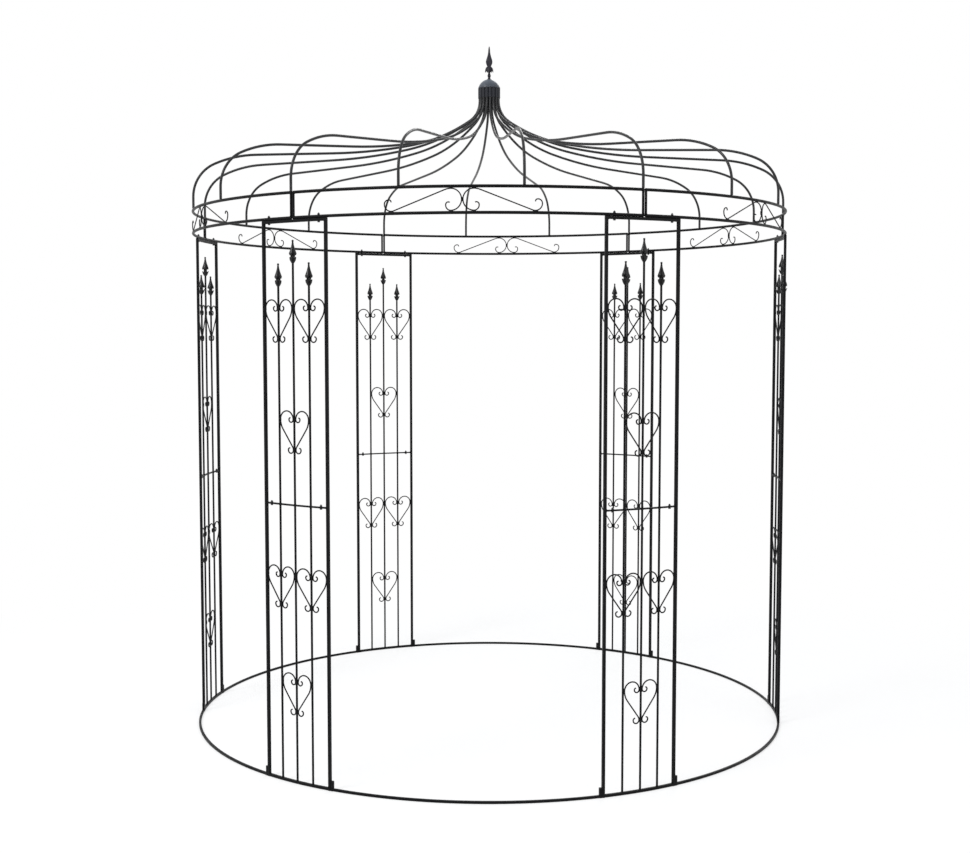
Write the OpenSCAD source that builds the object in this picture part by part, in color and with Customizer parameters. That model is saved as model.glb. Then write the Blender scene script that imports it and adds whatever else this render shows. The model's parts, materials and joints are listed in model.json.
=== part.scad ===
// Round garden pavilion of powder-coated steel: six curved trellis columns in two
// storeys, a scrolled ring in six segments, eighteen ogee roof ribs and a crown.

/* [Pavilion] */
// Diameter of the circle on which the columns, ring and rib feet stand
pavilion_d = 2480; // [2060:10:2980]
// Height of one wall panel; two of them make a column
panel_h = 1020; // [850:5:1225]
// Width of one wall panel along the circle
panel_w = 306; // [254:2:368]

/* [Ring] */
// Height of the scrolled ring over its two rails
ring_h = 100; // [83:1:120]
// Thickness of the ring's rails
rail_d = 11; // [9.5:0.5:13]
// Thickness of the upright bars at a ring segment's ends
end_bar_d = 9; // [7.5:0.5:9.5]
// Thickness of the wire in the ring's scrolls
scroll_d = 4.4; // [3.8:0.2:5.2]
// Height of the pins that carry the roof ribs
pin_h = 25; // [20:1:30]
// Thickness of those pins
pin_d = 7; // [6:0.25:7.5]

/* [Panels] */
// Side of the square tube of the panel frames
post_w = 11; // [9:0.5:13]
// Rounding of the square tubes' edges
edge_r = 1.5; // [0.8:0.1:2]
// Thickness of the upright bars in a panel
bar_d = 8; // [6.5:0.25:9.5]
// Thickness of the wire in the hearts
heart_d = 5; // [4.2:0.2:6]
// Bend radius of a heart's upper curl
upper_curl_r = 10; // [8.5:0.5:12]
// Bend radius of a heart's lower curl
lower_curl_r = 12; // [10:0.5:14]
// Height of a spear on a panel bar
spear_h = 82; // [68:1:98]
// Width of a spear across its leaves
spear_w = 29; // [24:1:35]
// Drop from an upper panel's top to the foot of its middle spear
middle_spear_drop = 154; // [128:1:185]
// Drop from an upper panel's top to the feet of its side spears
side_spear_drop = 235; // [196:1:282]
// Drop from an upper panel's top to the points of its pair of hearts
upper_pair_drop = 423; // [380:1:480]
// Height of the point of an upper panel's single heart over the panel's foot
upper_heart_rise = 199; // [166:1:238]
// Drop from a lower panel's top to the points of its pair of hearts
lower_pair_drop = 367; // [306:1:420]
// Height of the point of a lower panel's single heart over the panel's foot
lower_heart_rise = 264; // [220:1:300]

/* [Roof] */
// Outer diameter of a roof rib
rib_d = 10; // [9:0.5:12]
// Height of a rib's upright foot
eave_h = 45; // [38:1:54]
// Bend radius of a rib at the eave
shoulder_r = 150; // [125:5:180]
// Bend radius of a rib under the crown
throat_r = 103; // [86:1:123]
// Drop of the dome cap from its top to the mouths of its sockets
dome_h = 79; // [70:1:94]
// Depth of a rib in its socket
socket_h = 40; // [34:1:46]

/* [Finial] */
// Height of the finial above the dome
finial_h = 138; // [115:1:165]
// Width of the finial across its drooping leaves
finial_w = 36; // [30:1:43]
// Width of the finial's blade
blade_w = 28; // [23:1:33]

/* [Ground arcs] */
// Side of the square bars that tie the columns' feet together
tie_w = 10; // [8.5:0.5:12]
// Height of their upturned ends
tie_h = 36; // [30:1:43]

/* [Hidden] */
$fn = 32;
seat = 0.2;
lap = 0.3;
grow = 0.04;
rib_grow = 0.12;
ring_fn = 360;
column_count = 6;
rib_count = 18;
ring_r = pavilion_d / 2;
segment_a = 360 / column_count;
rib_a = 360 / rib_count;
paint = [0.09, 0.09, 0.1];
dome_paint = [0.33, 0.36, 0.41];

// Panel
frame_rail = post_w - 2 * seat;
flat_t = 3;
flat_w = post_w - 2 * edge_r - 2 * seat;
post_s = (panel_w - post_w) / 2;
bar_gap = (panel_w - 2 * post_w - 3 * bar_d) / 4;
bar_s = bar_gap + bar_d;

// Heart: half of it runs from beside the bar out to the next bar or post
heart_in = (bar_d + heart_d) / 2 - lap;
heart_out = bar_d / 2 + bar_gap + lap - heart_d / 2;
heart_half = heart_out - heart_in;
heart_lobe = heart_half / 2;
heart_a = 36;
heart_belly = heart_half;
heart_toe = heart_half / 3;
heart_flank = (heart_half - (heart_belly + heart_toe) * (1 - cos(heart_a))) / sin(heart_a);
heart_rise = (heart_belly + heart_toe) * sin(heart_a) + heart_flank * cos(heart_a);
heart_sag = heart_half * heart_half / ring_r / 4;
curl_end = 0.6;

// Ring
ring_z = 2 * panel_h + seat;
ring_top = ring_z + ring_h;
end_a = asin((rail_d / 2 + seat) / ring_r);
scroll_bow = ring_h / 2 - rail_d - scroll_d / 2 + lap;
scroll_slope = 21;
scroll_crest = 60;
scroll_hook = 24;
outer_curl = [15, 7];
inner_curl = [18, 9];
scroll_x = scroll_d / 2 + seat;
scroll_drop = (scroll_crest + scroll_hook) * (1 - cos(scroll_slope));
scroll_flank = (2 * scroll_bow - scroll_drop) / sin(scroll_slope);
scroll_reach = (scroll_crest + scroll_hook) * sin(scroll_slope) + scroll_flank * cos(scroll_slope);
scroll_mid = scroll_x + scroll_bow + scroll_reach / 2;
scroll_chord_r = sqrt(ring_r * ring_r - scroll_reach * scroll_reach / 4);
scroll_turn = atan(scroll_mid / scroll_chord_r);

// Roof: a rib leans inwards by these angles after each of its bends
socket_pitch = rib_d + 4.1;
crown_r = rib_count * socket_pitch / 360 * 180 / PI;
socket_d = rib_d + 3;
bore_d = rib_d + 0.6;
foot_bore_d = pin_d + 1;
eave_lean = 65;
flat_lean = 87;
sweep_lean = 78;
throat_lean = 55;
upper_shoulder_r = 450;
lower_sweep_r = 2060;
middle_sweep_r = 720;
rib_neck = 13;
flat_len = (ring_r - crown_r
    - shoulder_r * (1 - cos(eave_lean))
    - upper_shoulder_r * (cos(eave_lean) - cos(flat_lean))
    - lower_sweep_r * (cos(sweep_lean) - cos(flat_lean))
    - middle_sweep_r * (cos(throat_lean) - cos(sweep_lean))
    - throat_r * (1 - cos(throat_lean))) / sin(flat_lean);
roof_rise = eave_h
    + shoulder_r * sin(eave_lean)
    + upper_shoulder_r * (sin(flat_lean) - sin(eave_lean))
    + flat_len * cos(flat_lean)
    + lower_sweep_r * (sin(flat_lean) - sin(sweep_lean))
    + middle_sweep_r * (sin(sweep_lean) - sin(throat_lean))
    + throat_r * sin(throat_lean)
    + rib_neck;
rib_foot = ring_top + seat;
dome_z = rib_foot + roof_rise;
dome_r = crown_r + socket_d / 2;
finial_z = dome_z + dome_h;

function rib_name(i) = str("roof_rib_", i < 10 ? "0" : "", i);
function arc_deg(s) = s / ring_r * 180 / PI;

// Children are drawn at arc length s along the circle, +X outwards and +Y along it.
module along_ring(s) {
    rotate([0, 0, arc_deg(s)]) translate([ring_r, 0, 0]) children();
}

// A bar on the circle from one angle to another; its section is the children, centred.
module ring_bar(from, to, z) {
    rotate_extrude(angle = to - from, start = from, $fn = ring_fn)
        translate([ring_r, z]) children();
}

// Section of a square tube with rounded edges, centred.
module tube_section(side) {
    square([side, side - 2 * edge_r], center = true);
    square([side - 2 * edge_r, side], center = true);
    for (x = [-1, 1], y = [-1, 1]) {
        translate([x, y] * (side / 2 - edge_r)) circle(r = edge_r);
    }
}

// Points of a path in a plane that starts upwards, as [x, y, heading], where the heading is
// measured from +Y towards +X. Each step is [length, 0], or [bend radius, turn].
function advance(at, reach, turn) =
    turn == 0
        ? [at[0] + reach * sin(at[2]), at[1] + reach * cos(at[2]), at[2]]
        : let (r = reach * sign(turn), h = at[2])
          [at[0] + r * (cos(h) - cos(h + turn)), at[1] + r * (sin(h + turn) - sin(h)), h + turn];
function corners(steps, at, i = 0) =
    i == len(steps)
        ? [at]
        : concat([at], corners(steps, advance(at, steps[i][0], steps[i][1]), i + 1));

// A bent round rod in the XZ plane that starts along +Z and takes the steps of a path.
// Every other step is a hair thicker and takes in the ends of its neighbours, which
// keeps the joints clean; more is how much thicker.
module rod(d, steps, more = grow) {
    starts = corners(steps, [0, 0, 0]);
    for (i = [0:len(steps) - 1]) {
        over = i % 2 * lap;
        size = d + (1 - i % 2) * more;
        translate([starts[i][0], 0, starts[i][1]]) rotate([0, starts[i][2], 0])
            rod_step(size, steps[i][0], steps[i][1], over);
    }
}

module rod_step(d, reach, turn, over) {
    if (turn == 0) {
        translate([0, 0, -over]) cylinder(d = d, h = reach + 2 * over);
    } else {
        extra = over / reach * 180 / PI;
        first = (turn > 0 ? 180 - turn : 0) - extra;
        translate([sign(turn) * reach, 0, 0]) rotate([90, 0, 0])
            rotate_extrude(angle = abs(turn) + 2 * extra, start = first)
                translate([reach, 0]) circle(d = d);
    }
}

// Half a heart beside a bar along Z, with its point at z = 0 and its side towards +X.
module half_heart() {
    translate([heart_out, 0, heart_rise]) {
        rod(heart_d, [
            [heart_lobe, -180], [upper_curl_r, -180], [curl_end * upper_curl_r, -90]
        ]);
        mirror([0, 0, 1]) rod(heart_d, [
            [heart_belly, -heart_a], [heart_flank, 0], [heart_toe, heart_a],
            [lower_curl_r, 180], [curl_end * lower_curl_r, 90]
        ]);
    }
}

module heart(s, z) {
    along_ring(s) translate([-heart_sag, 0, z]) rotate([0, 0, 90]) {
        half_heart();
        mirror([1, 0, 0]) half_heart();
    }
}

// Parts its children, a cast shell round Z, into four leaves by V-shaped gaps.
module four_leaves(w, half_gap, wide_z, point_z) {
    difference() {
        children();
        for (a = [45, 135]) {
            rotate([90, 0, a]) linear_extrude(2 * w, center = true)
                polygon([[-half_gap, wide_z], [half_gap, wide_z], [0, point_z]]);
        }
    }
}

// A cast spear that stands on z = 0: a cup of four pointed leaves, a bead, then a needle
// that spreads below into four more leaves and ends in a small ball.
module spear(h, w, stem_d) {
    wall = 0.08 * w;
    ball_d = 0.26 * w;
    cylinder(d = stem_d, h = 0.5 * h);
    four_leaves(w, 0.36 * w, 0.26 * h, 0.1 * h) {
        rotate_extrude() polygon([
            [0, 0], [stem_d / 2 + 1, 0], [0.36 * w, 0.11 * h], [0.5 * w, 0.24 * h],
            [0.5 * w - wall, 0.24 * h], [0.3 * w, 0.13 * h], [0, 0.07 * h]
        ]);
    }
    translate([0, 0, 0.3 * h]) sphere(d = 0.46 * w);
    four_leaves(w, 0.2 * w, 0.33 * h, 0.45 * h) {
        rotate_extrude() polygon([
            [0, 0.47 * h], [0.2 * w, 0.47 * h], [0.46 * w - wall, 0.41 * h], [0.43 * w - wall, 0.35 * h],
            [0.43 * w, 0.35 * h], [0.48 * w, 0.41 * h], [0.36 * w, 0.53 * h], [0.25 * w, 0.64 * h],
            [0.15 * w, 0.78 * h], [0.09 * w, 0.92 * h], [0, 0.94 * h]
        ]);
    }
    translate([0, 0, h - ball_d / 2]) sphere(d = ball_d);
}

// The two posts and the upright bars, each bar given as [place, foot, top].
module posts_and_bars(bars) {
    for (side = [-1, 1]) {
        along_ring(side * post_s) linear_extrude(panel_h) tube_section(post_w);
    }
    for (bar = bars) {
        along_ring(bar[0]) translate([0, 0, bar[1]]) cylinder(d = bar_d, h = bar[2] - bar[1]);
    }
}

// The frame's curved tube between the posts, by the height of its middle.
module frame_tube(z) {
    ring_bar(-arc_deg(post_s), arc_deg(post_s), z) tube_section(frame_rail);
}

// The thin flat bar between the posts where two storeys meet.
module frame_flat(z) {
    ring_bar(-arc_deg(post_s), arc_deg(post_s), z) square([flat_w, flat_t], center = true);
}

module hearts(pair_z, single_z) {
    for (side = [-1, 1]) {
        heart(side * bar_s, pair_z);
    }
    heart(0, single_z);
}

module lower_panel() {
    bar_foot = frame_rail / 2;
    bar_top = panel_h - flat_t / 3;
    color(paint) {
        posts_and_bars([for (k = [-1:1]) [k * bar_s, bar_foot, bar_top]]);
        frame_tube(seat + frame_rail / 2);
        frame_flat(panel_h - flat_t / 2);
        hearts(panel_h - lower_pair_drop, lower_heart_rise);
    }
}

module upper_panel() {
    bar_foot = flat_t / 3;
    spear_z = [for (drop = [side_spear_drop, middle_spear_drop, side_spear_drop]) panel_h - drop];
    color(paint) translate([0, 0, panel_h]) {
        posts_and_bars([for (k = [0:2]) [(k - 1) * bar_s, bar_foot, spear_z[k] + 1]]);
        frame_tube(panel_h - seat - frame_rail / 2);
        frame_flat(flat_t / 2);
        hearts(panel_h - upper_pair_drop, upper_heart_rise);
        for (k = [0:2]) {
            along_ring((k - 1) * bar_s) translate([0, 0, spear_z[k]]) spear(spear_h, spear_w, bar_d + 1);
        }
    }
}

// Half of a segment's scrollwork, flat, with the segment's middle at x = 0: a bow between
// the rails, a long flank down to the lower rail, and a curl at either end.
module half_scroll() {
    translate([scroll_x + scroll_bow, 0, -scroll_bow]) {
        rotate([0, -90, 0]) rod(scroll_d, [
            [scroll_bow, 180], [scroll_crest, scroll_slope], [scroll_flank, 0],
            [scroll_hook, -90 - scroll_slope], [outer_curl[0], -100], [outer_curl[1], -90]
        ]);
        rotate([0, 90, 0]) rod(scroll_d, [[inner_curl[0], -100], [inner_curl[1], -110]]);
    }
}

// It stands on the chord between the two places where it meets the rails.
module ring_scroll() {
    rotate([0, 0, scroll_turn]) translate([scroll_chord_r, -scroll_mid, 0])
        rotate([0, 0, 90]) half_scroll();
}

// A segment spans 60 degrees from +X: two rails, two end bars, a pair of scrolls, three pins.
module ring_segment() {
    low = ring_z + rail_d / 2;
    high = ring_top - rail_d / 2;
    color(paint) {
        for (z = [low, high]) {
            ring_bar(end_a, segment_a - end_a, z) circle(d = rail_d, $fn = 32);
            for (a = [end_a, segment_a - end_a]) {
                rotate([0, 0, a]) translate([ring_r, 0, z]) sphere(d = rail_d + grow);
            }
        }
        for (a = [end_a, segment_a - end_a]) {
            rotate([0, 0, a]) translate([ring_r, 0, low]) cylinder(d = end_bar_d, h = high - low);
        }
        rotate([0, 0, segment_a / 2]) translate([0, 0, (low + high) / 2]) {
            ring_scroll();
            mirror([0, 1, 0]) ring_scroll();
        }
        for (k = [1:3]) {
            rotate([0, 0, k * rib_a - end_a]) translate([ring_r, 0, high])
                cylinder(d = pin_d, h = rail_d / 2 + pin_h);
        }
    }
}

// A bar on the ground between two columns, with a short upright against either post.
module ground_arc() {
    turn = arc_deg((panel_w + tie_w) / 2 + seat);
    bar_w = tie_w - 2 * seat;
    color(paint) {
        ring_bar(turn, segment_a - turn, tie_w / 2) tube_section(bar_w);
        for (a = [turn, segment_a - turn]) {
            rotate([0, 0, a]) translate([ring_r, 0, 0]) linear_extrude(tie_h) tube_section(tie_w);
        }
    }
}

module roof_rib() {
    color(paint) difference() {
        translate([ring_r, 0, rib_foot]) rod(rib_d, [
            [eave_h, 0],
            [shoulder_r, -eave_lean],
            [upper_shoulder_r, eave_lean - flat_lean],
            [flat_len, 0],
            [lower_sweep_r, flat_lean - sweep_lean],
            [middle_sweep_r, sweep_lean - throat_lean],
            [throat_r, throat_lean],
            [rib_neck + socket_h - 1, 0]
        ], rib_grow);
        translate([ring_r, 0, rib_foot - 1]) cylinder(d = foot_bore_d, h = pin_h + 2);
    }
}

// The crown: a dome over a ring of sockets, open below.
module dome_cap() {
    wall = 3;
    lip_h = 2.5;
    lip_d = socket_pitch - 0.3;
    boss_d = 20;
    color(dome_paint) translate([0, 0, dome_z]) rotate([0, 0, -end_a]) difference() {
        union() {
            intersection() {
                translate([0, 0, dome_h - dome_r]) sphere(r = dome_r);
                translate([0, 0, socket_h]) cylinder(r = dome_r + 1, h = dome_h - socket_h - 0.5);
            }
            cylinder(r = crown_r + 1, h = socket_h + 1);
            cylinder(d = boss_d, h = dome_h);
            for (k = [0:rib_count - 1]) {
                rotate([0, 0, k * rib_a]) translate([crown_r, 0, 0]) {
                    cylinder(d = socket_d, h = socket_h + 2);
                    translate([0, 0, socket_h + 2]) sphere(d = socket_d);
                    cylinder(d = lip_d, h = lip_h);
                }
            }
        }
        for (k = [0:rib_count - 1]) {
            rotate([0, 0, k * rib_a]) translate([crown_r, 0, -1]) cylinder(d = bore_d, h = socket_h + 1);
        }
        translate([0, 0, -1]) cylinder(r = crown_r - bore_d / 2 - wall, h = socket_h + 1);
    }
}

// A lance-shaped blade with a ridge on either face, in four-sided sections.
module blade(h, w, thick, foot_w) {
    steps = 12;
    rows = [for (k = [0:steps])
        let (t = k / steps, swell = pow(sin(180 * pow(t, 0.46)), 1.2))
        [h * t, max(swell * w, k < 3 ? foot_w : 1) / 2, max(swell * thick, k < 3 ? foot_w : 1) / 2]
    ];
    points = [for (row = rows) each [
        [row[1], 0, row[0]], [0, row[2], row[0]], [-row[1], 0, row[0]], [0, -row[2], row[0]]
    ]];
    sides = [for (k = [0:steps - 1], j = [0:3])
        let (next = (j + 1) % 4)
        each [
            [4 * k + j, 4 * k + 4 + j, 4 * k + next],
            [4 * k + next, 4 * k + 4 + j, 4 * k + 4 + next]
        ]
    ];
    caps = [[0, 1, 2, 3], [4 * steps + 3, 4 * steps + 2, 4 * steps + 1, 4 * steps]];
    polyhedron(points = points, faces = concat(sides, caps));
}

// From below: a flared foot, a ball, four drooping leaves, a band and the blade.
module finial() {
    h = finial_h;
    w = finial_w;
    wall = 0.07 * w;
    stem_d = 8;
    color(paint) translate([0, 0, finial_z]) {
        cylinder(d1 = 2.2 * stem_d, d2 = stem_d + 1, h = 0.05 * h);
        cylinder(d = stem_d, h = 0.42 * h);
        translate([0, 0, 0.095 * h]) sphere(d = 0.37 * w);
        four_leaves(w, 0.28 * w, 0.19 * h, 0.315 * h) {
            rotate_extrude() polygon([
                [0, 0.33 * h], [0.2 * w, 0.33 * h], [0.42 * w - wall, 0.27 * h], [0.5 * w - wall, 0.21 * h],
                [0.5 * w, 0.21 * h], [0.44 * w, 0.28 * h], [0.28 * w, 0.34 * h], [0.17 * w, 0.365 * h],
                [0.15 * w, 0.39 * h], [0, 0.39 * h]
            ]);
        }
        translate([0, 0, 0.375 * h]) blade(0.625 * h, blade_w, 0.4 * blade_w, stem_d + 1);
    }
}

for (i = [1:column_count]) {
    rotate([0, 0, (i - 1) * segment_a]) {
        lower_panel();
        upper_panel();
        ring_segment();
        ground_arc();
    }
}
for (i = [1:rib_count]) {
    rotate([0, 0, (i - 1) * rib_a - end_a]) {
        roof_rib();
    }
}
dome_cap();
finial();
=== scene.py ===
import json
import math
import random

import bpy
from mathutils import Matrix, Vector


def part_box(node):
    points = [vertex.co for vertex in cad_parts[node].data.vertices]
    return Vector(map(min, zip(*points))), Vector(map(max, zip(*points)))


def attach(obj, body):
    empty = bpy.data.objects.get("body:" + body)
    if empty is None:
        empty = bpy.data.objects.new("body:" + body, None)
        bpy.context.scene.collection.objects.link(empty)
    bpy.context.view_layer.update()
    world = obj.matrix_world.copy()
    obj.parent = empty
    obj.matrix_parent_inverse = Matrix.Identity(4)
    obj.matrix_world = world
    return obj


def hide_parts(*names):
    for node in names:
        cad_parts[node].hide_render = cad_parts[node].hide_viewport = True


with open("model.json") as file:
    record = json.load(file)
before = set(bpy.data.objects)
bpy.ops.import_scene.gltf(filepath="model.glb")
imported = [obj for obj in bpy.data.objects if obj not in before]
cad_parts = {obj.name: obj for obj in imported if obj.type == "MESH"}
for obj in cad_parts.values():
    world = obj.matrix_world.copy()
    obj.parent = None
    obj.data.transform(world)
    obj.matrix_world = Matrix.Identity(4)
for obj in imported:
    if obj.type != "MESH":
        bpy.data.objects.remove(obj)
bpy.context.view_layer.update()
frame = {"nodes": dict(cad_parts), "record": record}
cadParts = frame["nodes"]
print("frame loaded:", len(cadParts), "parts")

# Where the columns stand, read from the frame (metres; along = distance on the circle)
columnCount = 6
columnTurn = 2 * math.pi / columnCount
columnTurns = [k * columnTurn for k in range(columnCount)]
footX, footY = frame["record"]["mounts"][0]["pos_m"][:2]
circleRadius = math.hypot(footX, footY)
postAlong = math.atan2(footY, footX) * circleRadius
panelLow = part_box("lower_panel_1")[0].z
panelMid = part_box("lower_panel_1")[1].z
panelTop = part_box("upper_panel_1")[1].z
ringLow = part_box("ring_segment_1")[0].z
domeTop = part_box("dome_cap")[1].z

# The part's own sizes that the welds, screws and castings follow
barSizes = {
    "post": 0.011,
    "bar": 0.008,
    "wire": 0.005,           # hearts
    "flat": 0.003,           # thin bars where two storeys meet
    "seat": 0.0002,          # clearance between pieces that rest on each other
    "rail": 0.011,           # ring rails
    "ringHeight": 0.100,
    "endBar": 0.009,
    "scrollWire": 0.0044,
}
frameTube = barSizes["post"] - 2 * barSizes["seat"]
barGap = (2 * postAlong - barSizes["post"] - 3 * barSizes["bar"]) / 4
barAlong = barGap + barSizes["bar"]


def newMaterial(name):
    material = bpy.data.materials.new(name)
    material.use_nodes = True
    tree = material.node_tree
    return material, tree, tree.nodes["Principled BSDF"]


def addNode(tree, kind, **inputs):
    node = tree.nodes.new(kind)
    for key, value in inputs.items():
        node.inputs[key].default_value = value
    return node


def noise(tree, scale, detail, roughness):
    coords = tree.nodes.new("ShaderNodeTexCoord")
    texture = addNode(tree, "ShaderNodeTexNoise", Scale=scale, Detail=detail, Roughness=roughness)
    tree.links.new(coords.outputs["Object"], texture.inputs["Vector"])
    return texture.outputs["Fac"]


def ramp(tree, source, places, colours):
    node = tree.nodes.new("ShaderNodeValToRGB")
    elements = node.color_ramp.elements
    while len(elements) < len(places):
        elements.new(0.5)
    for element, place, colour in zip(elements, places, colours):
        element.position = place
        element.color = (*colour, 1.0)
    tree.links.new(source, node.inputs["Fac"])
    return node.outputs["Color"]


def greyRamp(tree, source, places, greys=(0.0, 1.0)):
    return ramp(tree, source, places, [(grey, grey, grey) for grey in greys])


def multiply(tree, first, second):
    node = tree.nodes.new("ShaderNodeMath")
    node.operation = "MULTIPLY"
    for socket, source in zip(node.inputs, (first, second)):
        if isinstance(source, float):
            socket.default_value = source
        else:
            tree.links.new(source, socket)
    return node.outputs[0]


def mixColour(tree, factor, first, second):
    node = tree.nodes.new("ShaderNodeMix")
    node.data_type = "RGBA"
    tree.links.new(factor, node.inputs["Factor"])
    for name, source in (("A", first), ("B", second)):
        if isinstance(source, tuple):
            node.inputs[name].default_value = (*source, 1.0)
        else:
            tree.links.new(source, node.inputs[name])
    return node.outputs["Result"]


def addRelief(tree, shader, pattern, depth, strength):
    # Fine bumps all over
    bump = addNode(tree, "ShaderNodeBump", Strength=strength, Distance=depth)
    tree.links.new(noise(tree, *pattern), bump.inputs["Height"])
    tree.links.new(bump.outputs["Normal"], shader.inputs["Normal"])


# A pattern is a noise's cells per metre, detail and roughness; a span is where its ramp runs
powderCoat = {
    "deep": (0.0034, 0.0035, 0.0040),    # thin places of the coat
    "lit": (0.0068, 0.0070, 0.0079),     # where it lies thicker
    "cloud": (9.0, 5.0, 0.6),
    "cloudSpan": (0.35, 0.68),
    "worn": (0.022, 0.022, 0.024),       # rubbed edges
    "wornEdges": (0.52, 0.60),
    "wornShare": 0.6,
    "speck": (160.0, 4.0, 0.7),
    "speckSpan": (0.50, 0.66),
    "dust": (0.045, 0.043, 0.040),       # lies on what faces up
    "dustFacing": (0.55, 0.95),
    "dustPatch": (28.0, 5.0, 0.65),
    "dustSpan": (0.42, 0.70),
    "dustShare": 0.16,
    "roughness": (0.34, 0.52),
    "satin": (34.0, 3.0, 0.5),
    "satinSpan": (0.3, 0.7),
    "gloss": 0.10,
    "peel": (420.0, 2.0, 0.5),           # orange peel
    "peelDepth": 0.00020,
    "peelStrength": 0.6,
}
# Painted sheen: the ribs' coat is a lighter copy of the black powder coat, its raised deep and lit
# tones standing for the grey sheen on the ribs
ribCoat = dict(
    powderCoat,
    deep=(0.0125, 0.0128, 0.0138),
    lit=(0.0240, 0.0244, 0.0260),
    worn=(0.040, 0.040, 0.042),
    dust=(0.075, 0.072, 0.068),
    dustShare=0.30,
    roughness=(0.28, 0.44),
    gloss=0.30,
)
castingCoat = dict(
    powderCoat,
    deep=(0.019, 0.018, 0.025),
    lit=(0.038, 0.036, 0.048),
    dustShare=0.08,
    roughness=(0.22, 0.34),
    gloss=0.15,
    peel=(260.0, 2.0, 0.5),
    peelDepth=0.00025,
)
# Painted highlight: lighter than the panels' powder coat, its raised deep and lit tones standing for
# the glints on the thin leaves
spearCoat = dict(
    castingCoat,
    deep=(0.0165, 0.0167, 0.0175),
    lit=(0.0330, 0.0334, 0.0345),
    gloss=0.22,
)
domeCoat = dict(
    powderCoat,
    deep=(0.007, 0.008, 0.013),
    lit=(0.013, 0.015, 0.022),
    worn=(0.050, 0.054, 0.062),
    paintedSheen=((0.098, 0.117, 0.146), (0.150, 0.172, 0.208)),     # painted sheen: faces that look up are painted lighter grey, standing for light from above
    paintedSheenFacing=(0.04, 0.16, 0.55, 0.95),
    paintedSheenShare=(0.0, 0.36, 0.62, 1.0),
    paintedSheenMottle=(38.0, 6.0, 0.65),
    paintedSheenMottleSpan=(0.32, 0.66),
    dustShare=0.12,
    roughness=(0.34, 0.48),
    gloss=0.30,
    peel=(260.0, 2.0, 0.5),
)


def makeCoat(name, look):
    material, tree, shader = newMaterial(name)
    cloud = noise(tree, *look["cloud"])
    painted = ramp(tree, cloud, look["cloudSpan"], (look["deep"], look["lit"]))
    geometry = tree.nodes.new("ShaderNodeNewGeometry")
    edge = greyRamp(tree, geometry.outputs["Pointiness"], look["wornEdges"])
    speck = greyRamp(tree, noise(tree, *look["speck"]), look["speckSpan"], (0.0, look["wornShare"]))
    painted = mixColour(tree, multiply(tree, edge, speck), painted, look["worn"])
    normal = tree.nodes.new("ShaderNodeSeparateXYZ")
    tree.links.new(geometry.outputs["Normal"], normal.inputs[0])
    # Painted sheen: faces that look up get a lighter, mottled grey and the sides stay near black,
    # standing for light from above
    if "paintedSheen" in look:
        paintedSheenMask = greyRamp(tree, normal.outputs["Z"], look["paintedSheenFacing"], look["paintedSheenShare"])
        paintedSheenMottle = ramp(tree, noise(tree, *look["paintedSheenMottle"]), look["paintedSheenMottleSpan"], look["paintedSheen"])
        painted = mixColour(tree, paintedSheenMask, painted, paintedSheenMottle)
    upward = greyRamp(tree, normal.outputs["Z"], look["dustFacing"])
    patch = greyRamp(tree, noise(tree, *look["dustPatch"]), look["dustSpan"])
    dusty = multiply(tree, multiply(tree, upward, patch), look["dustShare"])
    tree.links.new(mixColour(tree, dusty, painted, look["dust"]), shader.inputs["Base Color"])
    satin = greyRamp(tree, noise(tree, *look["satin"]), look["satinSpan"], look["roughness"])
    tree.links.new(satin, shader.inputs["Roughness"])
    addRelief(tree, shader, look["peel"], look["peelDepth"], look["peelStrength"])
    shader.inputs["Specular IOR Level"].default_value = look["gloss"]
    return material


steelPaint = makeCoat("satin black powder coat", powderCoat)
ribPaint = makeCoat("weathered black coat with painted sheen on the roof ribs", ribCoat)
castingPaint = makeCoat("black coat on castings", castingCoat)
spearPaint = makeCoat("black coat on the spears with painted highlights", spearCoat)
domePaint = makeCoat("black coat on the dome with painted sheen on top", domeCoat)

screwFinish = {
    "metal": (0.040, 0.041, 0.044),
    "bright": (0.085, 0.085, 0.088),     # handled corners
    "stain": (240.0, 5.0, 0.6),
    "stainSpan": (0.40, 0.72),
    "roughness": (0.30, 0.50),
    "satin": (120.0, 3.0, 0.5),
    "satinSpan": (0.3, 0.7),
    "grain": (900.0, 2.0, 0.5),
    "grainDepth": 0.00005,
    "grainStrength": 0.4,
}


def makeScrewFinish(name, look):
    material, tree, shader = newMaterial(name)
    stain = noise(tree, *look["stain"])
    colour = ramp(tree, stain, look["stainSpan"], (look["metal"], look["bright"]))
    tree.links.new(colour, shader.inputs["Base Color"])
    satin = greyRamp(tree, noise(tree, *look["satin"]), look["satinSpan"], look["roughness"])
    tree.links.new(satin, shader.inputs["Roughness"])
    addRelief(tree, shader, look["grain"], look["grainDepth"], look["grainStrength"])
    shader.inputs["Metallic"].default_value = 1.0
    return material


screwMetal = makeScrewFinish("black oxide steel", screwFinish)

coats = {"dome_cap": domePaint, "finial": castingPaint}
for nodeName, part in cadParts.items():
    usual = ribPaint if nodeName.startswith("roof_rib") else steelPaint
    part.data.materials.clear()
    part.data.materials.append(coats.get(nodeName, usual))
print("materials done")


def onCircle(along, height, out=0.0):
    turn = along / circleRadius
    reach = circleRadius + out
    return Vector((reach * math.cos(turn), reach * math.sin(turn), height))


def facing(along, height):
    # A frame on the circle: X outwards, Y along the circle, Z up
    return Matrix.Translation(onCircle(along, height)) @ Matrix.Rotation(along / circleRadius, 4, "Z")


def lifted(height):
    return Matrix.Translation((0.0, 0.0, height))


def spokes(count, shift=0.0):
    # Angles evenly spaced round a full turn
    return [2 * math.pi * (k + shift) / count for k in range(count)]


def merged(shapes):
    verts, faces = [], []
    for shapeVerts, shapeFaces in shapes:
        start = len(verts)
        verts.extend(shapeVerts)
        faces.extend(tuple(start + k for k in face) for face in shapeFaces)
    return verts, faces


def placed(matrix, shape):
    return [matrix @ Vector(v) for v in shape[0]], shape[1]


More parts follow.
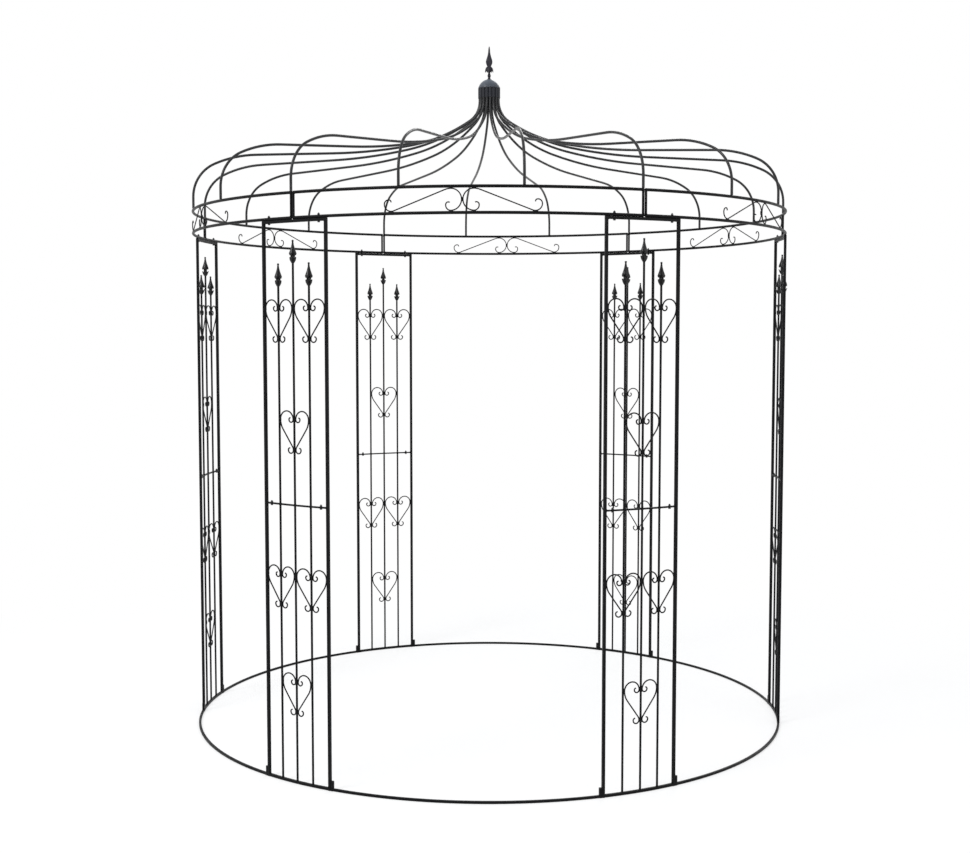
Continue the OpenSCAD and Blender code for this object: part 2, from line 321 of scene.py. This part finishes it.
def tube(rings, loop=False):
    # Closed skin over rings of points, each ring with the same number of points
    sides = len(rings[0])
    verts = [point for ring in rings for point in ring]
    faces = []
    count = len(rings)
    for k in range(count if loop else count - 1):
        here, there = k * sides, (k + 1) % count * sides
        for j in range(sides):
            after = (j + 1) % sides
            faces.append((here + j, here + after, there + after, there + j))
    if not loop:
        faces.append(tuple(reversed(range(sides))))
        faces.append(tuple(range((count - 1) * sides, count * sides)))
    return verts, faces


def addPiece(name, shape, material, turns=(0.0,), smooth=35.0):
    # One piece, or one for each turn about the pavilion's axis
    verts, faces = shape
    for number, turn in enumerate(turns, 1):
        pieceName = name if len(turns) == 1 else f"{name}_{number}"
        mesh = bpy.data.meshes.new(pieceName)
        spin = Matrix.Rotation(turn, 3, "Z")
        mesh.from_pydata([tuple(spin @ Vector(v)) for v in verts], [], faces)
        mesh.validate()
        mesh.materials.append(material)
        mesh.shade_smooth()
        mesh.set_sharp_from_angle(angle=math.radians(smooth))
        piece = bpy.data.objects.new(pieceName, mesh)
        bpy.context.scene.collection.objects.link(piece)
        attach(piece, "root")


weld = {
    "ripple": 0.16,
    "pitch": 0.0034,         # from one ripple to the next
    "leastRipples": 2.0,
    "stepsPerRipple": 4,
    "leastSteps": 9,
    "beadSides": 8,
    "beadUneven": 0.06,
    "collarRipples": 7,
    "collarSteps": 22,
    "collarSides": 6,
    "collarUneven": 0.08,
}
shake = random.Random(7)


def bead(start, end, size):
    # A rippled bead of weld between two points, full in the middle and rounded off at both ends
    start, end = Vector(start), Vector(end)
    line = end - start
    across = line.orthogonal().normalized()
    other = line.normalized().cross(across)
    ripples = max(weld["leastRipples"], line.length / weld["pitch"])
    steps = max(weld["leastSteps"], int(ripples * weld["stepsPerRipple"]))
    phase = shake.uniform(0.0, 1.0)
    rings = []
    for k in range(steps + 1):
        t = k / steps
        swell = max(1.0 - abs(2 * t - 1) ** 3, 0.05) ** 0.5
        radius = size * swell * (1 + weld["ripple"] * math.cos(2 * math.pi * (ripples * t + phase)))
        radius *= shake.uniform(1 - weld["beadUneven"], 1 + weld["beadUneven"])
        middle = start + line * t
        rings.append([middle + (across * math.cos(a) + other * math.sin(a)) * radius
                      for a in spokes(weld["beadSides"])])
    return tube(rings)


def collar(centre, radius, size):
    # A bead of weld round an upright bar
    rings = []
    for turn in spokes(weld["collarSteps"]):
        ripple = weld["ripple"] * math.cos(weld["collarRipples"] * turn)
        thick = size * (1 + ripple + shake.uniform(-weld["collarUneven"], weld["collarUneven"]))
        out = Vector((math.cos(turn), math.sin(turn), 0.0))
        ring = []
        for a in spokes(weld["collarSides"]):
            rise = Vector((0.0, 0.0, thick * math.sin(a)))
            ring.append(centre + out * (radius + thick * math.cos(a)) + rise)
        rings.append(ring)
    return tube(rings, loop=True)


heart = {
    "lean": 36.0,            # degrees that its flanks lean
    "pinch": 3.0,            # how much tighter its point is bent than its belly
    # Heights of the points of the two side by side and of the one between them
    "lower": {"pair": panelMid - 0.367, "single": panelLow + 0.264},
    "upper": {"pair": panelTop - 0.423, "single": panelMid + 0.199},
}
panelWeld = {
    "bead": 0.0021,          # half thickness of a bead beside a bar
    "length": 0.019,
    "spread": 0.0026,        # from the wire's middle to the bead on either side of it
    "curl": 0.8,             # shares of the length where a heart's curls touch,
    "point": 0.9,            # at its point
    "side": 1.0,             # and at its sides
    "collar": 0.0011,        # half thickness of a bead round a bar's foot
    "collarOut": 0.0002,
    "corner": 0.0017,
    "cornerReach": 0.0042,
    "cornerSink": 0.0006,
}


def heartRise():
    # From a heart's point up to where it touches the bars on both sides
    heartIn = (barSizes["bar"] + barSizes["wire"]) / 2
    belly = barSizes["bar"] / 2 + barGap - barSizes["wire"] / 2 - heartIn
    toe = belly / heart["pinch"]
    lean = math.radians(heart["lean"])
    flank = (belly - (belly + toe) * (1 - math.cos(lean))) / math.sin(lean)
    return (belly + toe) * math.sin(lean) + flank * math.cos(lean)


def heartWelds(along, pointHeight):
    rise = heartRise()
    inner = barSizes["bar"] / 2
    outer = inner + barGap
    welds = ((inner, rise, "curl"), (inner, 0.0, "point"), (outer, rise, "side"))
    beads = []
    for side in (-1, 1):
        for distance, height, kind in welds:
            place, middle = along + side * distance, pointHeight + height
            reach = panelWeld["length"] / 2 * panelWeld[kind]
            for out in (-panelWeld["spread"], panelWeld["spread"]):
                low, high = onCircle(place, middle - reach, out), onCircle(place, middle + reach, out)
                beads.append(bead(low, high, panelWeld["bead"]))
    return beads


def cornerWelds(height, upward):
    # Beads in the corners between the posts and a bar that runs between them
    reach, sink = panelWeld["cornerReach"], panelWeld["cornerSink"]
    level = height + upward * sink
    beads = []
    for side in (-1, 1):
        place = side * (postAlong - barSizes["post"] / 2 - sink)
        start, end = onCircle(place, level, -reach), onCircle(place, level, reach)
        beads.append(bead(start, end, panelWeld["corner"]))
    return beads


def panelWelds(storey):
    beads = heartWelds(0.0, heart[storey]["single"])
    for side in (-1, 1):
        beads += heartWelds(side * barAlong, heart[storey]["pair"])
    if storey == "upper":
        into = 1
        flatFace = panelMid + barSizes["flat"]
        tubeFace = panelTop - barSizes["seat"] - frameTube
        barFeet = [flatFace]
    else:
        into = -1
        flatFace = panelMid - barSizes["flat"]
        tubeFace = panelLow + barSizes["seat"] + frameTube
        barFeet = [flatFace, tubeFace]
    beads += cornerWelds(flatFace, into)
    beads += cornerWelds(tubeFace, -into)
    radius = barSizes["bar"] / 2 + panelWeld["collarOut"]
    for level in barFeet:
        for k in (-1, 0, 1):
            beads.append(collar(onCircle(k * barAlong, level), radius, panelWeld["collar"]))
    return merged(beads)


for storey in ("lower", "upper"):
    addPiece(f"{storey}_panel_welds", panelWelds(storey), steelPaint,
             columnTurns, smooth=60.0)

scroll = {
    "slope": 21.0,           # degrees that its long flank slopes
    "crest": 0.060,          # radii of the bends at the flank's two ends
    "hook": 0.024,
    "bite": 0.0003,          # how far its wire sinks into a rail
}
ringWeld = {
    "bead": 0.0016,
    "bowLength": 0.014,      # at a bow's top and foot
    "hookLength": 0.020,     # where the long flank comes down
    "middleBead": 0.0013,    # between the two scrolls
    "middleReach": 0.008,
    "middleSpread": 0.0012,
    "collar": 0.0011,
    "collarOut": 0.0004,
}


def ringWelds():
    wire, rail, height = barSizes["scrollWire"], barSizes["rail"], barSizes["ringHeight"]
    bow = height / 2 - rail - wire / 2 + scroll["bite"]
    slope = math.radians(scroll["slope"])
    bends = scroll["crest"] + scroll["hook"]
    flank = (2 * bow - bends * (1 - math.cos(slope))) / math.sin(slope)
    bowAlong = wire / 2 + barSizes["seat"] + bow
    hookAlong = bowAlong + (bends * math.sin(slope) + flank * math.cos(slope))
    middle = ringLow + height / 2
    segmentAlong = circleRadius * columnTurn / 2
    touch = bow + wire / 2
    touches = (
        (bowAlong, touch, ringWeld["bowLength"]),
        (bowAlong, -touch, ringWeld["bowLength"]),
        (hookAlong, -touch, ringWeld["hookLength"]),
    )
    collarOut = ringWeld["collarOut"]
    collarRadius = barSizes["endBar"] / 2 + collarOut
    beads = []
    for side in (-1, 1):
        for place, level, length in touches:
            centre = segmentAlong + side * place
            for out in (-wire / 2, wire / 2):
                start = onCircle(centre - length / 2, middle + level, out)
                end = onCircle(centre + length / 2, middle + level, out)
                beads.append(bead(start, end, ringWeld["bead"]))
        endBar = segmentAlong + side * (segmentAlong - rail / 2 - barSizes["seat"])
        for level in (ringLow + rail - collarOut, ringLow + height - rail + collarOut):
            beads.append(collar(onCircle(endBar, level), collarRadius, ringWeld["collar"]))
    for out in (-ringWeld["middleSpread"], ringWeld["middleSpread"]):
        low = onCircle(segmentAlong, middle - ringWeld["middleReach"], out)
        high = onCircle(segmentAlong, middle + ringWeld["middleReach"], out)
        beads.append(bead(low, high, ringWeld["middleBead"]))
    return merged(beads)


addPiece("ring_welds", ringWelds(), steelPaint, columnTurns, smooth=60.0)
print("welds done")

screw = {
    "shank": 0.005,
    "threadPitch": 0.0008,
    "threadDepth": 0.00045,
    "threadSides": 24,
    "threadSteps": 8,        # in one turn of thread
    "hexWidth": 0.008,       # across the flats
    "hexChamfer": 0.0007,
    "headHeight": 0.0035,
    "nutHeight": 0.0040,
    "nutTurn": 0.4,          # radians from the head's flats to the nut's
    "washerWidth": 0.010,
    "washerHeight": 0.0010,
    "washerSlack": 0.0002,
    "washerEdge": 0.3,       # rounding, as a share of the height
    "washerSides": 32,
    "tail": 0.0026,          # thread that shows past the nut
    "tailRoot": 0.0006,      # and what of it lies inside
    "settle": 0.0003,        # how far a flat washer settles on a round rail
    "along": 0.118,          # from a column's middle to its screws
}


def hexBlock(height):
    # A six-sided block on z = 0 with its corners turned off at both ends
    corner, chamfer = screw["hexWidth"] / math.sqrt(3), screw["hexChamfer"]
    levels = (
        (0.0, corner - chamfer),
        (chamfer * 0.5, corner),
        (height - chamfer * 0.5, corner),
        (height, corner - chamfer),
    )
    return tube([[(reach * math.cos(a), reach * math.sin(a), level) for a in spokes(6)]
                 for level, reach in levels])


def threadedEnd(length):
    radius, depth, pitch = screw["shank"] / 2, screw["threadDepth"], screw["threadPitch"]
    sides, steps = screw["threadSides"], int(length / pitch * screw["threadSteps"])
    rings = []
    for k in range(steps + 1):
        height = length * k / steps
        taper = min(1.0, (length - height) / pitch + 0.2)
        ring = []
        for j, turn in enumerate(spokes(sides)):
            phase = (height / pitch - j / sides) % 1.0
            reach = radius - depth * abs(2 * phase - 1) - (1 - taper) * depth
            ring.append((reach * math.cos(turn), reach * math.sin(turn), height))
        rings.append(ring)
    return tube(rings)


def washer():
    outer, thick = screw["washerWidth"] / 2, screw["washerHeight"]
    inner = screw["shank"] / 2 + screw["washerSlack"]
    edge = thick * screw["washerEdge"]
    section = (
        (inner, 0.0),
        (outer - edge, 0.0),
        (outer, edge),
        (outer, thick - edge),
        (outer - edge, thick),
        (inner, thick),
    )
    return tube([[(reach * math.cos(a), reach * math.sin(a), level) for reach, level in section]
                 for a in spokes(screw["washerSides"])], loop=True)


def wholeScrew(grip):
    # Its head hangs below z = 0 and its nut sits above z = grip
    low, high = -screw["washerHeight"], grip + screw["washerHeight"]
    nutTurn = Matrix.Rotation(screw["nutTurn"], 4, "Z")
    tail = threadedEnd(screw["tail"] + screw["tailRoot"])
    return merged([
        placed(lifted(low - screw["headHeight"]), hexBlock(screw["headHeight"])),
        placed(lifted(high) @ nutTurn, hexBlock(screw["nutHeight"])),
        placed(lifted(low), washer()),
        placed(lifted(grip), washer()),
        placed(lifted(high + screw["nutHeight"] - screw["tailRoot"]), tail),
    ])


def columnScrews():
    # On either side one holds the ring and one joins the two storeys
    tubeFoot = panelTop - barSizes["seat"] - frameTube
    railTop = ringLow + barSizes["rail"] - screw["settle"]
    flatFoot = panelMid - barSizes["flat"]
    shapes = []
    for along in (-screw["along"], screw["along"]):
        shapes.append(placed(facing(along, tubeFoot), wholeScrew(railTop - tubeFoot)))
        shapes.append(placed(facing(along, flatFoot), wholeScrew(2 * barSizes["flat"])))
    return merged(shapes)


addPiece("column_screws", columnScrews(), screwMetal, columnTurns)
print("screws done")

castLeaves = {
    "leaves": 4,             # in one tier
    "steps": 5,              # stations from one row of a leaf's table to the next
    "sides": 16,
    "vein": 0.00045,         # how far the middle vein stands up
    "veinWidth": 0.2,        # as a share of the leaf's half width
    "arch": 0.0005,          # how far the edges fall back
    "serration": 0.09,
    "serrationMiddle": 0.6,
}
turned = {
    "steps": 4,              # stations from one row of a profile to the next
    "perMetre": 1000.0,      # profiles and the finial's blade are written in millimetres
}


def smoothRows(rows, steps):
    # Rows of numbers with smooth rows between them
    last = len(rows) - 1
    smooth = []
    for k in range(last):
        before, here, there, after = (rows[max(0, min(last, k + d))] for d in (-1, 0, 1, 2))
        for j in range(steps):
            t = j / steps
            smooth.append([0.5 * (2 * q + (r - p) * t + (2 * p - 5 * q + 4 * r - s) * t * t
                                  + (3 * q - p - 3 * r + s) * t ** 3)
                           for p, q, r, s in zip(before, here, there, after)])
    return smooth + [list(rows[-1])]


def castLeaf(rows, turn, outward, lobes):
    # A leaf wrapped round the axis: rows of (radius, height, half width, half thickness) from
    # root to tip; outward is 1 where it rises from its root and -1 where it hangs
    line = smoothRows(rows, castLeaves["steps"])
    last = len(line) - 1
    widest = max(row[2] for row in line)
    rings = []
    for k, (radius, height, half, thick) in enumerate(line):
        fromRadius, fromHeight = line[max(k - 1, 0)][:2]
        toRadius, toHeight = line[min(k + 1, last)][:2]
        run = math.hypot(toRadius - fromRadius, toHeight - fromHeight)
        outR, outZ = outward * (toHeight - fromHeight) / run, outward * (fromRadius - toRadius) / run
        notch = abs(math.sin(math.pi * lobes * k / last)) - castLeaves["serrationMiddle"]
        half *= 1 + castLeaves["serration"] * notch
        ring = []
        for a in spokes(castLeaves["sides"]):
            across, off = math.cos(a), math.sin(a) * thick
            if off > 0:
                vein = castLeaves["vein"] * math.exp(-(across / castLeaves["veinWidth"]) ** 2)
                off += vein * half / widest
            off -= castLeaves["arch"] * across ** 2 * half / widest
            reach, spot = radius + outR * off, turn + across * half / radius
            ring.append((reach * math.cos(spot), reach * math.sin(spot), height + outZ * off))
        rings.append(ring)
    return tube(rings)


def leafTier(rows, scale, outward, lobes, start=0.0):
    # The same leaf all round; scale is (width, height) of the casting that the rows are shares of
    wide, tall = scale
    sized = [(r * wide, z * tall, half * wide, thick * wide) for r, z, half, thick in rows]
    return [castLeaf(sized, start + turn, outward, lobes) for turn in spokes(castLeaves["leaves"])]


def turnedForm(profile, sides):
    # A smooth skin turned about Z; the profile is (radius, height)
    rings = []
    for row in smoothRows(profile, turned["steps"]):
        radius, height = (value / turned["perMetre"] for value in row)
        rings.append([(radius * math.cos(a), radius * math.sin(a), height) for a in spokes(sides)])
    return tube(rings)


spear = {
    "height": 0.082,
    "width": 0.029,
    "ballSides": 20,
    "drops": (0.235, 0.154, 0.235),      # from the panel's top to each spear's foot
    # Leaves in shares of the width and height: (radius, height, half width, half thickness)
    "skirt": [(0.100, 0.86, 0.085, 0.028), (0.134, 0.78, 0.118, 0.028), (0.234, 0.64, 0.190, 0.028),
              (0.344, 0.53, 0.275, 0.028), (0.414, 0.46, 0.325, 0.028), (0.451, 0.408, 0.315, 0.028),
              (0.440, 0.365, 0.240, 0.032), (0.405, 0.343, 0.190, 0.034), (0.352, 0.349, 0.150, 0.028),
              (0.330, 0.368, 0.110, 0.018)],
    "cup": [(0.180, 0.004, 0.140, 0.028), (0.250, 0.050, 0.205, 0.028), (0.338, 0.105, 0.256, 0.028),
            (0.392, 0.155, 0.250, 0.028), (0.430, 0.198, 0.222, 0.028), (0.452, 0.228, 0.182, 0.026),
            (0.466, 0.245, 0.132, 0.020), (0.474, 0.254, 0.080, 0.015), (0.480, 0.257, 0.030, 0.008)],
    "bud": [(0.180, 0.130, 0.080, 0.026), (0.212, 0.190, 0.110, 0.030), (0.238, 0.250, 0.122, 0.032),
            (0.242, 0.300, 0.115, 0.032), (0.218, 0.355, 0.092, 0.028), (0.170, 0.410, 0.055, 0.022)],
    # (radius, height) of the ball on its neck, in millimetres
    "ball": [(2.80, 73.0), (2.70, 74.4), (3.20, 75.4), (3.75, 76.8), (3.97, 78.3), (3.72, 79.8),
             (2.95, 81.1), (1.70, 81.95), (0.30, 82.25)],
    # (height, radius, half thickness) of the beads round its neck and its foot
    "collars": [(0.0738, 0.002755, 0.0007), (0.0006, 0.0051, 0.0009)],
}


def collarStack(collars):
    return [collar(Vector((0.0, 0.0, height)), radius, size) for height, radius, size in collars]


def wholeSpear():
    scale = (spear["width"], spear["height"])
    shapes = leafTier(spear["skirt"], scale, outward=-1, lobes=5.0)
    shapes += leafTier(spear["cup"], scale, outward=1, lobes=3.0)
    shapes += leafTier(spear["bud"], scale, outward=1, lobes=2.0, start=math.pi / 4)
    shapes.append(turnedForm(spear["ball"], spear["ballSides"]))
    return merged(shapes + collarStack(spear["collars"]))


def panelSpears():
    shape = wholeSpear()
    return merged([placed(facing((k - 1) * barAlong, panelTop - drop), shape)
                   for k, drop in enumerate(spear["drops"])])


addPiece("spear_leaves", panelSpears(), spearPaint, columnTurns, smooth=50.0)

finial = {
    "height": 0.138,
    "leafWidth": 0.036,
    "stemSides": 36,
    "bladeWidth": 0.028,
    "bladeSides": 28,
    "bladeSteps": 3,         # stations from one row of its table to the next
    "flat": 0.46,            # the blade's thickness against its width
    "flatRate": 1.15,        # how fast it flattens as it widens
    "hollow": 1.25,          # how hollow its faces are where it is wide
    "hollowFrom": 0.25,      # share of the width at which they begin to be
    "hollowOver": 0.5,       # and over which they come to it
    # (radius, height) of the turned foot, ball and stem, in millimetres
    "stem": [(9.0, -1.0), (8.4, 0.8), (6.4, 3.2), (5.3, 6.0), (5.1, 9.0), (5.7, 10.6), (6.9, 13.0),
             (7.3, 15.5), (6.8, 18.2), (5.5, 20.4), (4.8, 23.0), (4.6, 30.0), (4.9, 38.0), (6.0, 44.0),
             (6.9, 48.5), (6.3, 51.5), (5.0, 53.5), (4.4, 57.0)],
    # (distance below the point, width) along the blade, in millimetres
    "blade": [(0.0, 1.2), (1.2, 3.0), (4.0, 4.6), (9.0, 6.2), (15.0, 7.4), (21.0, 8.3), (26.0, 9.4),
              (32.0, 11.6), (38.0, 14.2), (43.0, 16.8), (48.0, 20.2), (53.0, 23.8), (58.0, 26.6),
              (63.0, 28.0), (68.0, 27.6), (73.0, 25.4), (78.0, 21.4), (82.0, 17.4), (86.0, 13.0)],
    # Outer leaf in shares of leafWidth and height: (radius, height, half width, half thickness)
    "leaf": [(0.110, 0.385, 0.095, 0.045), (0.185, 0.376, 0.155, 0.075), (0.275, 0.350, 0.215, 0.092),
             (0.350, 0.312, 0.225, 0.090), (0.400, 0.272, 0.185, 0.074), (0.432, 0.238, 0.130, 0.054),
             (0.462, 0.218, 0.080, 0.034), (0.492, 0.215, 0.040, 0.016)],
    # Inner leaf: shares of the outer one's radius, half width and half thickness, and how much higher
    "innerRadius": 0.78,
    "innerHalf": 0.8,
    "innerThick": 0.9,
    "innerLift": 0.010,
    # (height, radius, half thickness) of the beads round the stem
    "collars": [(0.0100, 0.0055, 0.0008), (0.0212, 0.0052, 0.0008), (0.0535, 0.0052, 0.0008)],
}


def finialBlade():
    # A needle that swells into a blade with a ridge down each face
    rings = []
    for row in smoothRows(finial["blade"], finial["bladeSteps"]):
        below, width = (value / turned["perMetre"] for value in row)
        share = width / finial["bladeWidth"]
        widening = (share - finial["hollowFrom"]) / finial["hollowOver"]
        bend = 1.0 + finial["hollow"] * min(1.0, max(0.0, widening))
        half = width / 2
        thick = half * (1.0 - (1.0 - finial["flat"]) * min(1.0, share * finial["flatRate"]))
        ring = []
        for a in spokes(finial["bladeSides"], 0.5):
            x, y = math.cos(a), math.sin(a)
            across = math.copysign(abs(x) ** bend, x) * half
            off = math.copysign(abs(y) ** bend, y) * thick
            ring.append((across, off, finial["height"] - below))
        rings.append(ring)
    return tube(rings)


def finialCasting():
    scale = (finial["leafWidth"], finial["height"])
    innerLeaf = [(r * finial["innerRadius"], z + finial["innerLift"],
                  half * finial["innerHalf"], thick * finial["innerThick"])
                 for r, z, half, thick in finial["leaf"]]
    shapes = [turnedForm(finial["stem"], finial["stemSides"]), finialBlade()]
    shapes += leafTier(finial["leaf"], scale, outward=-1, lobes=5.0)
    shapes += leafTier(innerLeaf, scale, outward=-1, lobes=4.0, start=math.pi / 4)
    return placed(lifted(domeTop), merged(shapes + collarStack(finial["collars"])))


addPiece("finial_casting", finialCasting(), castingPaint, smooth=40.0)
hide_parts("finial")
print("castings done")

studio = {
    "skyColour": (0.95, 0.97, 1.0),
    "skyTop": 0.92,          # soft light from straight above
    "skyLow": 0.34,          # and from the horizon
    "floorHalf": 60.0,
    "floorDrop": 0.0005,     # below the pavilion's feet
    "floorColour": (0.36, 0.36, 0.36),
    "floorRoughness": 0.9,
    "floorGlow": 0.63,       # only where the floor is seen, so it lights nothing
    "plainFrom": 1.7,        # metres from the axis where the floor starts to turn plain white
    "plainTo": 3.4,
}
# Place, width, power and the point that each shines at
lamps = {
    "key": ((-4.5, -5.0, 6.5), 3.0, 330.0, (0.0, 0.0, 1.2)),
    "fill": ((5.5, -4.0, 3.5), 4.0, 60.0, (0.0, 0.0, 1.2)),
    "rim": ((1.5, 6.0, 6.0), 3.0, 110.0, (0.0, 0.0, 1.5)),
}


def seenDirectly(tree):
    path = tree.nodes.new("ShaderNodeLightPath")
    total = path.outputs["Is Camera Ray"]
    for ray in ("Is Glossy Ray", "Is Transmission Ray"):
        larger = tree.nodes.new("ShaderNodeMath")
        larger.operation = "MAXIMUM"
        tree.links.new(total, larger.inputs[0])
        tree.links.new(path.outputs[ray], larger.inputs[1])
        total = larger.outputs[0]
    return total


def mixShaders(tree, factor, first, second, output):
    mix = tree.nodes.new("ShaderNodeMixShader")
    tree.links.new(factor, mix.inputs["Fac"])
    tree.links.new(first.outputs[0], mix.inputs[1])
    tree.links.new(second.outputs[0], mix.inputs[2])
    tree.links.new(mix.outputs[0], output.inputs["Surface"])


def makeWorld():
    world = bpy.data.worlds.new("studio")
    bpy.context.scene.world = world
    world.use_nodes = True
    tree = world.node_tree
    tree.nodes.clear()
    coords = tree.nodes.new("ShaderNodeTexCoord")
    axes = tree.nodes.new("ShaderNodeSeparateXYZ")
    tree.links.new(coords.outputs["Generated"], axes.inputs[0])
    level = tree.nodes.new("ShaderNodeMapRange")         # dim at the horizon, bright overhead
    level.inputs["To Min"].default_value = studio["skyLow"]
    level.inputs["To Max"].default_value = studio["skyTop"]
    tree.links.new(axes.outputs["Z"], level.inputs["Value"])
    soft = addNode(tree, "ShaderNodeBackground", Color=(*studio["skyColour"], 1.0))
    tree.links.new(level.outputs["Result"], soft.inputs["Strength"])
    seen = addNode(tree, "ShaderNodeBackground", Color=(1.0, 1.0, 1.0, 1.0), Strength=1.0)
    mixShaders(tree, seenDirectly(tree), soft, seen, tree.nodes.new("ShaderNodeOutputWorld"))


def makeFloorFinish():
    # Keeps the shadow near the pavilion and turns plain white further out
    material, tree, shader = newMaterial("pale floor")
    shader.inputs["Base Color"].default_value = (*studio["floorColour"], 1.0)
    shader.inputs["Roughness"].default_value = studio["floorRoughness"]
    shader.inputs["Specular IOR Level"].default_value = 0.0
    seen = seenDirectly(tree)
    glow = tree.nodes.new("ShaderNodeEmission")
    tree.links.new(multiply(tree, seen, studio["floorGlow"]), glow.inputs["Strength"])
    lit = tree.nodes.new("ShaderNodeAddShader")
    tree.links.new(shader.outputs[0], lit.inputs[0])
    tree.links.new(glow.outputs[0], lit.inputs[1])
    coords = tree.nodes.new("ShaderNodeTexCoord")
    away = tree.nodes.new("ShaderNodeVectorMath")
    away.operation = "LENGTH"
    tree.links.new(coords.outputs["Object"], away.inputs[0])
    fade = tree.nodes.new("ShaderNodeMapRange")
    fade.interpolation_type = "SMOOTHSTEP"
    fade.inputs["From Min"].default_value = studio["plainFrom"]
    fade.inputs["From Max"].default_value = studio["plainTo"]
    tree.links.new(away.outputs["Value"], fade.inputs["Value"])
    plain = addNode(tree, "ShaderNodeEmission", Strength=1.0)
    whiteShare = multiply(tree, seen, fade.outputs["Result"])
    mixShaders(tree, whiteShare, lit, plain, tree.nodes["Material Output"])
    return material


def makeFloor():
    half = studio["floorHalf"]
    corners = [(-half, -half, 0.0), (half, -half, 0.0), (half, half, 0.0), (-half, half, 0.0)]
    mesh = bpy.data.meshes.new("studio_floor")
    mesh.from_pydata(corners, [], [(0, 1, 2, 3)])
    mesh.materials.append(makeFloorFinish())
    floor = bpy.data.objects.new("studio_floor", mesh)
    floor.location.z = -studio["floorDrop"]
    bpy.context.scene.collection.objects.link(floor)


def makeLamp(name, place, width, power, target):
    lamp = bpy.data.lights.new(name, "AREA")
    lamp.shape = "DISK"
    lamp.size = width
    lamp.energy = power
    holder = bpy.data.objects.new(name, lamp)
    holder.location = place
    holder.rotation_euler = (Vector(target) - Vector(place)).to_track_quat("-Z", "Y").to_euler()
    bpy.context.scene.collection.objects.link(holder)


makeWorld()
makeFloor()
for lampName, values in lamps.items():
    makeLamp(lampName, *values)
print("studio done")

viewCamera = {
    "distance": 5.95,        # from the pavilion's axis
    "height": 1.64,
    "turn": 4.2,             # degrees to the right of a bay's middle
    "aside": 0.17,           # degrees turned to the left of the axis
    "pitch": -3.9,
    "lens": 51.2,
    "sensor": 36.0,
}


def makeCamera():
    camera = bpy.data.cameras.new("camera")
    camera.lens = viewCamera["lens"]
    camera.sensor_width = viewCamera["sensor"]
    camera.dof.use_dof = False
    holder = bpy.data.objects.new("camera", camera)
    turn, reach = math.radians(viewCamera["turn"]), viewCamera["distance"]
    tilt, aside = math.radians(90.0 + viewCamera["pitch"]), math.radians(viewCamera["aside"])
    holder.location = (reach * math.sin(turn), -reach * math.cos(turn), viewCamera["height"])
    holder.rotation_euler = (tilt, 0.0, turn + aside)
    bpy.context.scene.collection.objects.link(holder)
    bpy.context.scene.camera = holder


makeCamera()
bpy.context.scene.view_settings.view_transform = "Standard"
print("camera done")
